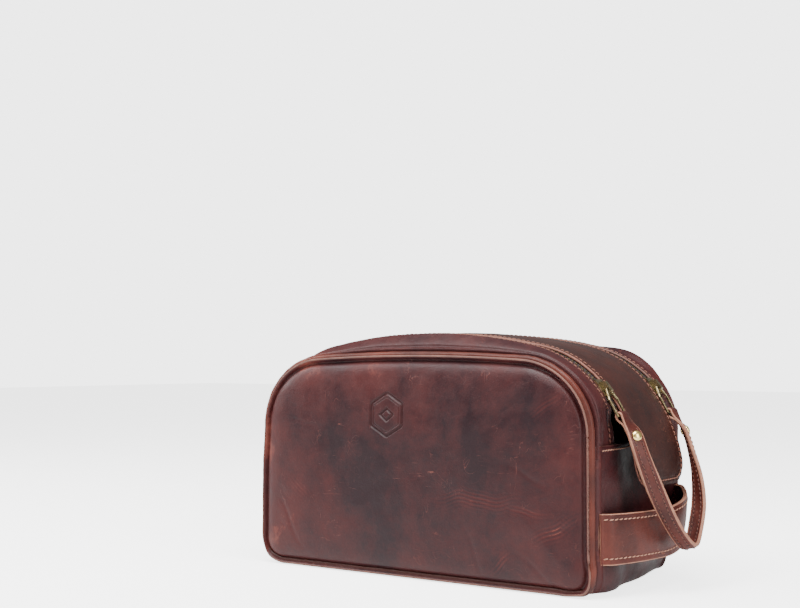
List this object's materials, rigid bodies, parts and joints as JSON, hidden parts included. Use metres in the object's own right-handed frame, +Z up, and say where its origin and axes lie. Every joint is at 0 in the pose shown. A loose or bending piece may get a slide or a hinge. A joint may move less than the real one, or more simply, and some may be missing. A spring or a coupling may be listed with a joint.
{
  "type": "hanging toiletry bag",
  "caption": "Zip-round leather toiletry bag with a tongued top flap, twin zips joined by a hanging strap, and a side carry handle.",
  "frame": {"origin": "middle of the base's flat underside", "axes": "+X towards the end with the strap and the carry handle, -Y towards the front panel, +Z up"},
  "size_m": [0.2867, 0.1288, 0.1552],
  "materials": {
    "body_leather": "waxed pull-up leather, satin",
    "trim_leather": "waxed pull-up leather, satin",
    "antique_brass": "antiqued, worn bright on the high spots",
    "polished_brass": "polished",
    "zip_tape": "woven herringbone",
    "lining_cloth": "plain cotton weave",
    "filler_cord": "twisted cord",
    "foam": "thin sewn-in foam",
    "board": "stiffening board"
  },
  "bodies": {
    "bag": {"front_panel": "body_leather", "rear_panel": "body_leather", "front_padding": "foam", "rear_padding": "foam", "front_panel_lining": "lining_cloth", "rear_panel_lining": "lining_cloth", "front_piping": "trim_leather", "rear_piping": "trim_leather", "front_piping_cord": "filler_cord", "rear_piping_cord": "filler_cord", "front_upper_strip": "body_leather", "rear_upper_strip": "body_leather", "front_strip_lining": "lining_cloth", "rear_strip_lining": "lining_cloth", "lower_gusset": "body_leather", "lower_lining": "lining_cloth", "base_board": "board", "slip_pocket": "lining_cloth", "pocket_binding": "trim_leather", "front_outer_tape": "zip_tape", "rear_outer_tape": "zip_tape", "front_outer_teeth": "antique_brass", "rear_outer_teeth": "antique_brass", "zip_stops": "antique_brass", "handle_leather": "trim_leather", "handle_backing": "trim_leather"},
    "flap": {"flap_leather": "body_leather", "flap_lining": "lining_cloth", "front_inner_tape": "zip_tape", "rear_inner_tape": "zip_tape", "front_inner_teeth": "antique_brass", "rear_inner_teeth": "antique_brass", "flap_zip_stops": "antique_brass"},
    "front_slider": {"front_slider": "antique_brass"},
    "rear_slider": {"rear_slider": "antique_brass"},
    "front_pull": {"front_pull_ring": "antique_brass"},
    "rear_pull": {"rear_pull_ring": "antique_brass"},
    "strap": {"strap": "trim_leather", "strap_rivets": "polished_brass", "rivet_caps": "polished_brass"}
  },
  "joints": [
    {"name": "front_zip", "type": "hinge", "parent": "bag", "child": "front_slider", "pos_m": [0.061, -0.036, 0.072], "axis": [0, -1, 0], "range_deg": [0, 38], "deforming": ["front_outer_teeth", "front_inner_teeth", "rear_outer_teeth", "rear_inner_teeth", "front_outer_tape", "front_inner_tape", "rear_outer_tape", "rear_inner_tape"]},
    {"name": "rear_zip", "type": "hinge", "parent": "bag", "child": "rear_slider", "pos_m": [0.061, 0.036, 0.072], "axis": [0, -1, 0], "range_deg": [0, 38], "deforming": ["front_outer_teeth", "front_inner_teeth", "rear_outer_teeth", "rear_inner_teeth", "front_outer_tape", "front_inner_tape", "rear_outer_tape", "rear_inner_tape"]},
    {"name": "front_pull_swing", "type": "hinge", "parent": "front_slider", "child": "front_pull", "pos_m": [0.12297, -0.036, 0.12024], "axis": [0, -1, 0], "range_deg": [0, 60]},
    {"name": "rear_pull_swing", "type": "hinge", "parent": "rear_slider", "child": "rear_pull", "pos_m": [0.12297, 0.036, 0.12024], "axis": [0, -1, 0], "range_deg": [0, 60]},
    {"name": "strap_swing", "type": "hinge", "parent": "front_pull", "child": "strap", "pos_m": [0.1316, -0.036, 0.105], "axis": [0, -1, 0], "range_deg": [0, 45]},
    {"name": "flap_lift", "type": "hinge", "parent": "bag", "child": "flap", "pos_m": [-0.1252, 0, 0.0883], "axis": [0, -1, 0], "range_deg": [0, 105], "deforming": ["front_inner_teeth", "rear_inner_teeth", "front_inner_tape", "rear_inner_tape", "flap_zip_stops"]}
  ],
  "couplings": [
    {"joint": "rear_zip", "follows": "front_zip", "ratio": 1},
    {"joint": "rear_pull_swing", "follows": "front_pull_swing", "ratio": 1}
  ]
}
